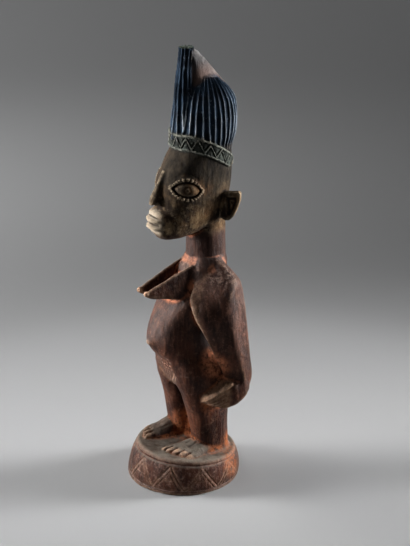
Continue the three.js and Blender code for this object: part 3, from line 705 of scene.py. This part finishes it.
volume = openvdb.FloatGrid(FAR)
volume.copyFromArray(wood)
points, triangles, quads = volume.convertToPolygons(isovalue=0.0, adaptivity=0.0)
points = points * STEP + LOW
mesh = bpy.data.meshes.new("carving")
faces = [tuple(f[::-1]) for f in triangles.tolist()] + [tuple(f) for f in quads.tolist()]
mesh.from_pydata((points * MM).tolist(), [], faces)
mesh.update()
carving = bpy.data.objects.new("carving", mesh)
bpy.context.scene.collection.objects.link(carving)
bpy.context.view_layer.objects.active = carving

thin = carving.modifiers.new("thin", "DECIMATE")
thin.ratio = min(1.0, MOST_TRIANGLES / (2 * len(quads) + len(triangles)))
done = bpy.data.meshes.new_from_object(carving.evaluated_get(bpy.context.evaluated_depsgraph_get()))
carving.modifiers.clear()
carving.data = done
mesh = done
mesh.validate()
# A face with an open edge is a scrap that the decimation left beside the closed surface
shell = bmesh.new()
shell.from_mesh(mesh)
scraps = [face for face in shell.faces if any(len(edge.link_faces) != 2 for edge in face.edges)]
bmesh.ops.delete(shell, geom=scraps, context="FACES")
shell.to_mesh(mesh)
shell.free()
for polygon in mesh.polygons:
    polygon.use_smooth = True

co = np.zeros(len(mesh.vertices) * 3, np.float32)
mesh.vertices.foreach_get("co", co)
places = co.reshape(-1, 3) / MM
filled = np.clip(0.5 - wood / (2 * STEP), 0, 1)


def attribute(name, values):
    made = mesh.attributes.new(name, "FLOAT", "POINT")
    made.data.foreach_set("value", values.astype(np.float32))


for name, reach in (("nook", NOOK_REACH), ("hollow", HOLLOW_REACH), ("recess", RECESS_REACH)):
    attribute(name, sampled(blurred(filled, reach), places))
for name, grid in marks.items():
    attribute(name, sampled(blurred(grid, MARK_REACH), places))
stain_and_hip_light = sum(step(1.0, 0.3, np.linalg.norm(places - at, axis=1) / reach) for at, reach in POWDER_STAINS_AND_HIP_LIGHT)
attribute("stain_and_hip_light", np.clip(stain_and_hip_light, 0, 1))
print("triangles", sum(len(p.vertices) - 2 for p in mesh.polygons))

# ---------------------------------------------------------------- material

# Linear colours, a pair where one fades into the other. The body:
UMBER = (0.022, 0.0075, 0.0043), (0.06, 0.0215, 0.0125)
RED_UMBER = (0.02, 0.0056, 0.003), (0.058, 0.0185, 0.0092)
WORN_PATCH = (0.066, 0.035, 0.026)
PALE_GRAIN = (0.16, 0.072, 0.042)
DARK_GRAIN = (0.01, 0.004, 0.0028)
BODY_GRIME = (0.012, 0.0052, 0.004)
BODY_SCUFF = (0.19, 0.096, 0.06)
RECESS_SHADE = (0.008, 0.0032, 0.0023)
NECK_SHADE_AND_STREAKS = (0.016, 0.0062, 0.0042)
SHOULDER_WEAR_AND_HIGHLIGHT = (0.18, 0.12, 0.092)
BODY_EDGE = (0.23, 0.145, 0.1)
FOOT_DUST = (0.135, 0.116, 0.093)
PLINTH_SCUFF = (0.19, 0.12, 0.1)
RED_POWDER_AND_HIP_LIGHT = (0.34, 0.105, 0.037), (0.62, 0.22, 0.11)
BODY_CREASE = (0.009, 0.004, 0.003)
CHALK = (0.2, 0.135, 0.115), (0.42, 0.3, 0.25)
COLLAR_POWDER = (0.3, 0.11, 0.055)
RUBBED_WOOD_AND_HIGHLIGHT = (0.38, 0.225, 0.14)
# The head:
OLIVE = (0.018, 0.0105, 0.0055), (0.085, 0.048, 0.022)
GOLD = (0.2, 0.09, 0.03)
FACE_DUST = (0.19, 0.13, 0.07)
FACE_GRIME = (0.012, 0.0075, 0.005)
FACE_SCUFF = (0.24, 0.18, 0.115)
FOREHEAD_SHADE = (0.004, 0.0028, 0.0017), (0.02, 0.0145, 0.009)
RIGHT_CHEEK = (0.03, 0.018, 0.01)
MUZZLE = (0.26, 0.22, 0.17)
FACE_EDGE = (0.19, 0.145, 0.098)
FACE_CREASE = (0.007, 0.004, 0.0025)
# The coiffure and its band:
INDIGO = (0.0025, 0.005, 0.0095), (0.011, 0.021, 0.036)
WORN_RIDGE = (0.24, 0.33, 0.42), (0.48, 0.52, 0.56)
HAIR_SCUFF = (0.16, 0.2, 0.26)
COLUMN_DISC = (0.06, 0.07, 0.05)
PALE_CREST = (0.045, 0.042, 0.0415), (0.105, 0.0995, 0.0985)
CREST_PINK = (0.14, 0.075, 0.055)
CREST_GRIME = (0.04, 0.038, 0.04)
CREST_TIP = (0.05, 0.062, 0.042)
DUSTY_BAND = (0.005, 0.006, 0.005), (0.028, 0.032, 0.027)
BAND_LINES = (0.095, 0.096, 0.08)

# Heights in metres between which one kind of colour gives way to the next
HEAD_FROM = (0.164, 0.172)
# Above these heights the red powder is painted paler and spread fuller, as painted light on the hips
HIP_LIGHT_FROM = (0.066, 0.074)


def patina():
    material = bpy.data.materials.new("patinated_wood")
    material.use_nodes = True
    tree = material.node_tree
    nodes, links = tree.nodes, tree.links
    nodes.clear()
    surface = nodes.new("ShaderNodeBsdfPrincipled")
    output = nodes.new("ShaderNodeOutputMaterial")
    links.new(surface.outputs[0], output.inputs[0])
    where = nodes.new("ShaderNodeTexCoord").outputs["Object"]

    def wire(value, socket):
        if isinstance(value, (int, float)):
            socket.default_value = value
        elif isinstance(value, tuple):
            socket.default_value = (*value, 1)
        else:
            links.new(value, socket)

    def read(name):
        node = nodes.new("ShaderNodeAttribute")
        node.attribute_name = name
        return node.outputs["Fac"]

    def noise(scale, detail=3.0, stretch=(1, 1, 1), roughness=0.55, offset=0.0):
        place = nodes.new("ShaderNodeMapping")
        links.new(where, place.inputs["Vector"])
        place.inputs["Scale"].default_value = [s * scale for s in stretch]
        place.inputs["Location"].default_value = (offset, offset * 0.7, offset * 1.3)
        node = nodes.new("ShaderNodeTexNoise")
        links.new(place.outputs[0], node.inputs["Vector"])
        node.inputs["Scale"].default_value = 1
        node.inputs["Detail"].default_value = detail
        node.inputs["Roughness"].default_value = roughness
        return node.outputs["Fac"]

    def ramp(value, low, high, to_low=0.0, to_high=1.0):
        node = nodes.new("ShaderNodeMapRange")
        node.interpolation_type = "SMOOTHSTEP"
        wire(value, node.inputs["Value"])
        for name, v in (("From Min", low), ("From Max", high), ("To Min", to_low), ("To Max", to_high)):
            node.inputs[name].default_value = v
        return node.outputs["Result"]

    def maths(operation, a, b=0.0):
        node = nodes.new("ShaderNodeMath")
        node.operation = operation
        wire(a, node.inputs[0])
        wire(b, node.inputs[1])
        return node.outputs[0]

    def mix(share, a, b):
        node = nodes.new("ShaderNodeMix")
        node.data_type = "RGBA"
        wire(share, node.inputs["Factor"])
        wire(a, node.inputs["A"])
        wire(b, node.inputs["B"])
        return node.outputs["Result"]

    def times(value, *others):
        for other in others:
            value = maths("MULTIPLY", value, other)
        return value

    def coated(base, *coats):
        """The base under its coats in turn, each a share and a colour."""
        for share, colour in coats:
            base = mix(share, base, colour)
        return base

    place = nodes.new("ShaderNodeSeparateXYZ")
    links.new(where, place.inputs[0])

    def height(low, high):
        return ramp(place.outputs["Z"], low, high)

    nook, hollow, recess, stain_and_hip_light = (read(name) for name in ("nook", "hollow", "recess", "stain_and_hip_light"))
    hair, hairband, rib, crest, rubbed = (read(name) for name in ("hair", "band", "rib", "crest", "rubbed"))
    edge = ramp(nook, 0.475, 0.37)
    crease = ramp(nook, 0.53, 0.62)
    deep = ramp(hollow, 0.525, 0.66)
    normal = nodes.new("ShaderNodeSeparateXYZ")
    links.new(nodes.new("ShaderNodeNewGeometry").outputs["Normal"], normal.inputs[0])
    upward = ramp(normal.outputs["Z"], 0.35, 0.9)
    blotch = noise(60, 5, roughness=0.6)
    patch = noise(26, 3, offset=2.0)
    fine = noise(620, 3, offset=3.0)
    streak = noise(420, 5, (1, 1, 0.09), roughness=0.6, offset=7.0)
    scuff = noise(330, 6, roughness=0.8, offset=15.0)
    grime = noise(170, 6, (1, 1, 0.5), roughness=0.75, offset=21.0)

    # The body: dark purple brown, redder on the legs, darkened by painted shade in its recesses, and rubbed
    # paler on edges
    tone = ramp(blotch, 0.36, 0.64)
    body = mix(height(0.1, 0.078), mix(tone, *UMBER), mix(tone, *RED_UMBER))
    # Painted shade darkens the broad recesses, less where the stain attribute marks powder and the hips'
    # painted light
    shade = times(ramp(recess, 0.47, 0.58, 0.0, 0.94), ramp(stain_and_hip_light, 0.0, 0.8, 1.0, 0.0))
    # Painted shade under the chin, over the neck and the chest round its base, with streaks of darker grain
    # in it
    neck = times(height(0.13, 0.152), ramp(streak, 0.56, 0.44, 0.6, 0.97))
    # The upward-facing tops of the shoulders are painted paler: scuffs, and a painted highlight from above
    topside = times(upward, height(0.13, 0.138), height(0.152, 0.149))
    dust = times(upward, height(0.05, 0.02), ramp(grime, 0.34, 0.6, 0.3, 0.9))
    body = coated(
        body,
        (ramp(patch, 0.47, 0.66, 0.0, 0.45), WORN_PATCH),
        (ramp(streak, 0.5, 0.68, 0.0, 0.28), PALE_GRAIN),
        (ramp(streak, 0.5, 0.34, 0.0, 0.5), DARK_GRAIN),
        (ramp(grime, 0.53, 0.38, 0.0, 0.7), BODY_GRIME),
        (ramp(scuff, 0.52, 0.68, 0.0, 0.45), BODY_SCUFF),
        (shade, RECESS_SHADE),
        (neck, NECK_SHADE_AND_STREAKS),
        (times(topside, ramp(scuff, 0.46, 0.6, 0.0, 0.75)), SHOULDER_WEAR_AND_HIGHLIGHT),
        (times(edge, ramp(scuff, 0.38, 0.6, 0.3, 0.9)), BODY_EDGE),
        (dust, FOOT_DUST),
        (times(height(0.025, 0.018), ramp(scuff, 0.48, 0.66, 0.0, 0.35)), PLINTH_SCUFF),
    )
    # Red powder in its hollows, paler and fuller above the hips as painted light, dark creases, and chalk in
    # the plinth's lines and the marks below the belly
    powder = maths("MAXIMUM", maths("MAXIMUM", deep, times(crease, 0.8)), stain_and_hip_light)
    powder = times(powder, ramp(noise(230, 6, roughness=0.8, offset=11.0), 0.36, 0.58))
    marked = times(height(0.058, 0.061), height(0.089, 0.0865), ramp(place.outputs["Y"], -0.004, -0.006))
    chalk = times(crease, maths("MAXIMUM", height(0.0225, 0.0205), marked))
    collar = times(height(0.142, 0.1455), height(0.153, 0.149), ramp(hollow, 0.5, 0.54))
    body = coated(
        body,
        (times(powder, ramp(height(*HIP_LIGHT_FROM), 0.0, 1.0, 0.7, 0.92)), mix(height(*HIP_LIGHT_FROM), *RED_POWDER_AND_HIP_LIGHT)),
        (times(crease, ramp(scuff, 0.58, 0.42, 0.2, 0.85)), BODY_CREASE),
        (times(chalk, ramp(grime, 0.4, 0.6, 0.3, 0.9)), mix(height(0.05, 0.055), *CHALK)),
        (times(collar, ramp(scuff, 0.4, 0.6, 0.25, 0.8)), COLLAR_POWDER),
    )

    # The head: olive brown with golden patches, darkened above the eyes by painted shade, and pale round the
    # mouth
    brow = maths("ADD", place.outputs["Z"], times(noise(40, 5, roughness=0.7, offset=9.0), 0.05))
    right = ramp(place.outputs["X"], 0.0, -0.008, 0.0, 0.6)
    muzzle = times(ramp(place.outputs["Y"], -0.0165, -0.021), height(0.189, 0.184))
    face = coated(
        mix(ramp(blotch, 0.4, 0.6), *OLIVE),
        (ramp(patch, 0.48, 0.58, 0.0, 0.7), GOLD),
        (ramp(grime, 0.5, 0.62, 0.0, 0.45), FACE_DUST),
        (ramp(grime, 0.5, 0.38, 0.0, 0.8), FACE_GRIME),
        (ramp(scuff, 0.52, 0.68, 0.0, 0.45), FACE_SCUFF),
        # Painted shade over the forehead
        (ramp(brow, 0.207, 0.231), mix(ramp(grime, 0.36, 0.64), *FOREHEAD_SHADE)),
        (times(right, ramp(scuff, 0.64, 0.5, 0.4, 1.0)), RIGHT_CHEEK),
        (times(muzzle, ramp(scuff, 0.4, 0.62, 0.5, 0.95)), MUZZLE),
        (times(edge, ramp(scuff, 0.36, 0.6, 0.1, 0.75)), FACE_EDGE),
        (times(crease, 0.85), FACE_CREASE),
    )
    colour = mix(height(*HEAD_FROM), body, face)
    # Paler wood where rubbed, and a painted highlight on the arm's front facet and the hand
    colour = mix(times(rubbed, ramp(scuff, 0.38, 0.6, 0.3, 0.9)), colour, RUBBED_WOOD_AND_HIGHLIGHT)

    # The coiffure: indigo in its grooves, rubbed to pale blue grey on its ridges
    worn = mix(ramp(noise(45, 3, offset=17.0), 0.35, 0.65), *WORN_RIDGE)
    indigo = coated(
        mix(ramp(noise(90, 4, offset=5.0), 0.35, 0.7), *INDIGO),
        (times(ramp(rib, 0.5, 0.95), ramp(grime, 0.34, 0.54, 0.25, 1.0)), worn),
        (ramp(scuff, 0.57, 0.7, 0.0, 0.6), HAIR_SCUFF),
    )
    disc = times(upward, height(0.2828, 0.2836))
    # The crest: pale grey, pinker lower down and greenish at its tip
    pale = coated(
        mix(ramp(blotch, 0.35, 0.65), *PALE_CREST),
        (times(height(0.2765, 0.268), ramp(patch, 0.36, 0.6, 0.1, 0.45)), CREST_PINK),
        (ramp(grime, 0.49, 0.37, 0.0, 0.75), CREST_GRIME),
        (height(0.2825, 0.284), CREST_TIP),
    )
    dusty = mix(ramp(grime, 0.4, 0.6), *DUSTY_BAND)
    dusty = mix(times(ramp(nook, 0.49, 0.39), ramp(scuff, 0.42, 0.58, 0.15, 0.95)), dusty, BAND_LINES)
    colour = coated(
        colour,
        (hair, indigo),
        (times(disc, ramp(scuff, 0.4, 0.6, 0.4, 0.9)), COLUMN_DISC),
        (crest, pale),
        (hairband, dusty),
    )
    links.new(colour, surface.inputs["Base Color"])

    # A handled sheen on the body, dull in its recesses and on the head, powder and dust
    rough = maths("ADD", ramp(blotch, 0.3, 0.7, 0.42, 0.58), height(0.175, 0.19))
    rough = maths("MINIMUM", rough, 0.8)
    rough = maths("ADD", rough, ramp(recess, 0.48, 0.6, 0.0, 0.4))
    rough = maths("MAXIMUM", rough, ramp(height(*HEAD_FROM), 0.0, 1.0, 0.0, 0.95))
    for cover, added in ((powder, 0.3), (maths("MAXIMUM", hair, crest), 0.14), (dust, 0.3)):
        rough = maths("ADD", rough, times(cover, added))
    links.new(rough, surface.inputs["Roughness"])
    surface.inputs["Specular IOR Level"].default_value = 0.1

    relief = times(streak, 0.9)
    for pattern, strength in ((fine, 0.3), (scuff, 0.6), (grime, 1.0)):
        relief = maths("ADD", relief, times(pattern, strength))
    tool = nodes.new("ShaderNodeBump")
    tool.inputs["Strength"].default_value = 0.8
    tool.inputs["Distance"].default_value = 0.0008
    links.new(relief, tool.inputs["Height"])
    links.new(tool.outputs[0], surface.inputs["Normal"])
    return material


mesh.materials.clear()
mesh.materials.append(patina())
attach(carving, "root")
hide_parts("ibeji_figure")

# ---------------------------------------------------------------- studio


FLOOR_RADIUS = 1.1
COVE_RADIUS = 0.9
WALL_HEIGHT = 2.6
COVE_STEPS = 12
FLOOR_SIDES = 96


def floor():
    """A pale floor that curves up into a round wall."""
    profile = [(FLOOR_RADIUS, 0)]
    for i in range(1, COVE_STEPS + 1):
        t = i / COVE_STEPS * math.pi / 2
        profile.append((FLOOR_RADIUS + COVE_RADIUS * math.sin(t), COVE_RADIUS - COVE_RADIUS * math.cos(t)))
    profile.append((FLOOR_RADIUS + COVE_RADIUS, WALL_HEIGHT))
    sides = FLOOR_SIDES
    turns = [2 * math.pi * i / sides for i in range(sides)]
    rows = [[(r * math.cos(turn), r * math.sin(turn), h) for turn in turns] for r, h in profile]
    corners = [(0, 0, 0)] + [p for row in rows for p in row]
    sheets = [(0, 1 + i, 1 + (i + 1) % sides) for i in range(sides)]
    for k in range(len(rows) - 1):
        for i in range(sides):
            a, b = 1 + k * sides + i, 1 + k * sides + (i + 1) % sides
            sheets.append((a, a + sides, b + sides, b))
    made = bpy.data.meshes.new("floor")
    made.from_pydata(corners, [], sheets)
    for polygon in made.polygons:
        polygon.use_smooth = True
    o = bpy.data.objects.new("floor", made)
    bpy.context.scene.collection.objects.link(o)
    material = bpy.data.materials.new("studio_floor")
    material.use_nodes = True
    shader = material.node_tree.nodes["Principled BSDF"]
    shader.inputs["Base Color"].default_value = (0.31, 0.312, 0.315, 1)
    shader.inputs["Roughness"].default_value = 0.85
    made.materials.append(material)


def lamp(name, kind, at, aim, size, watts, spread=180):
    """A lamp of a size in metres whose light spreads by an angle in degrees."""
    data = bpy.data.lights.new(name, kind)
    data.energy = watts
    if kind == "AREA":
        data.shape = "DISK"
        data.size = size
        data.spread = math.radians(spread)
    o = bpy.data.objects.new(name, data)
    o.location = at
    o.rotation_euler = (Vector(aim) - Vector(at)).to_track_quat("-Z", "Y").to_euler()
    o.visible_camera = False
    bpy.context.scene.collection.objects.link(o)
    return data


CAMERA_AZIMUTH = math.radians(60)
CAMERA_DISTANCE = 0.9
CAMERA_HEIGHT = 0.498
CAMERA_PITCH = math.radians(21.72)
CAMERA_PAN = math.radians(0.92)
SENSOR_WIDTH = 36
PICTURE_HEIGHT = 546
# The focal length in the picture's pixels
FOCAL_PIXELS = 1537.9

# The round patch of light on the floor, from a lamp over the figure
POOL_HEIGHT = 1.3
POOL_RADIUS = 0.285


def studio_place(side, away, height):
    """A place given from the camera's view: to the right of the figure, beyond it, and above the floor."""
    right = Vector((math.cos(CAMERA_AZIMUTH), math.sin(CAMERA_AZIMUTH), 0))
    beyond = Vector((-math.sin(CAMERA_AZIMUTH), math.cos(CAMERA_AZIMUTH), 0))
    return right * side + beyond * away + Vector((0, 0, height))


floor()
# Two side lamps rim the figure, two light the floor and the wall beyond, and one fills in from the front
lamp("left", "AREA", studio_place(-0.87, 0.06, 0.34), (0, 0, 0.22), 0.4, 2.35, 36)
lamp("right", "AREA", studio_place(0.85, 0.15, 0.34), (0, 0, 0.2), 0.4, 2.45, 38)
lamp("room", "AREA", studio_place(-1.45, 0.8, 1.45), studio_place(-1.18, 0.8, 0), 0.8, 23)
lamp("wall", "AREA", studio_place(-1.0, 0.55, 0.85), studio_place(-0.35, 0.5, 0), 0.3, 0.75, 50)
lamp("fill", "AREA", studio_place(-0.3, -0.75, 1.1), (0, 0, 0.23), 0.4, 0.04, 44)
pool = lamp("pool", "SPOT", studio_place(0.02, 0.0, POOL_HEIGHT), studio_place(0.02, 0.0, 0), 0, 9.2)
pool.spot_size = 2 * math.atan(POOL_RADIUS / POOL_HEIGHT)
pool.spot_blend = 0.25
pool.shadow_soft_size = 0.03

world = bpy.data.worlds.new("studio")
bpy.context.scene.world = world
world.use_nodes = True
background = world.node_tree.nodes["Background"]
background.inputs["Color"].default_value = (0.8, 0.82, 0.85, 1)
background.inputs["Strength"].default_value = 0.015
bpy.context.scene.view_settings.view_transform = "Standard"

camera_data = bpy.data.cameras.new("camera")
camera_data.sensor_width = SENSOR_WIDTH
camera_data.lens = FOCAL_PIXELS / PICTURE_HEIGHT * SENSOR_WIDTH
camera_data.clip_start = 0.05
camera = bpy.data.objects.new("camera", camera_data)
camera.location = studio_place(0, -CAMERA_DISTANCE, CAMERA_HEIGHT)
heading = CAMERA_AZIMUTH - CAMERA_PAN
level = math.cos(CAMERA_PITCH)
aim = Vector((-math.sin(heading) * level, math.cos(heading) * level, -math.sin(CAMERA_PITCH)))
camera.rotation_euler = aim.to_track_quat("-Z", "Y").to_euler()
bpy.context.scene.collection.objects.link(camera)
bpy.context.scene.camera = camera
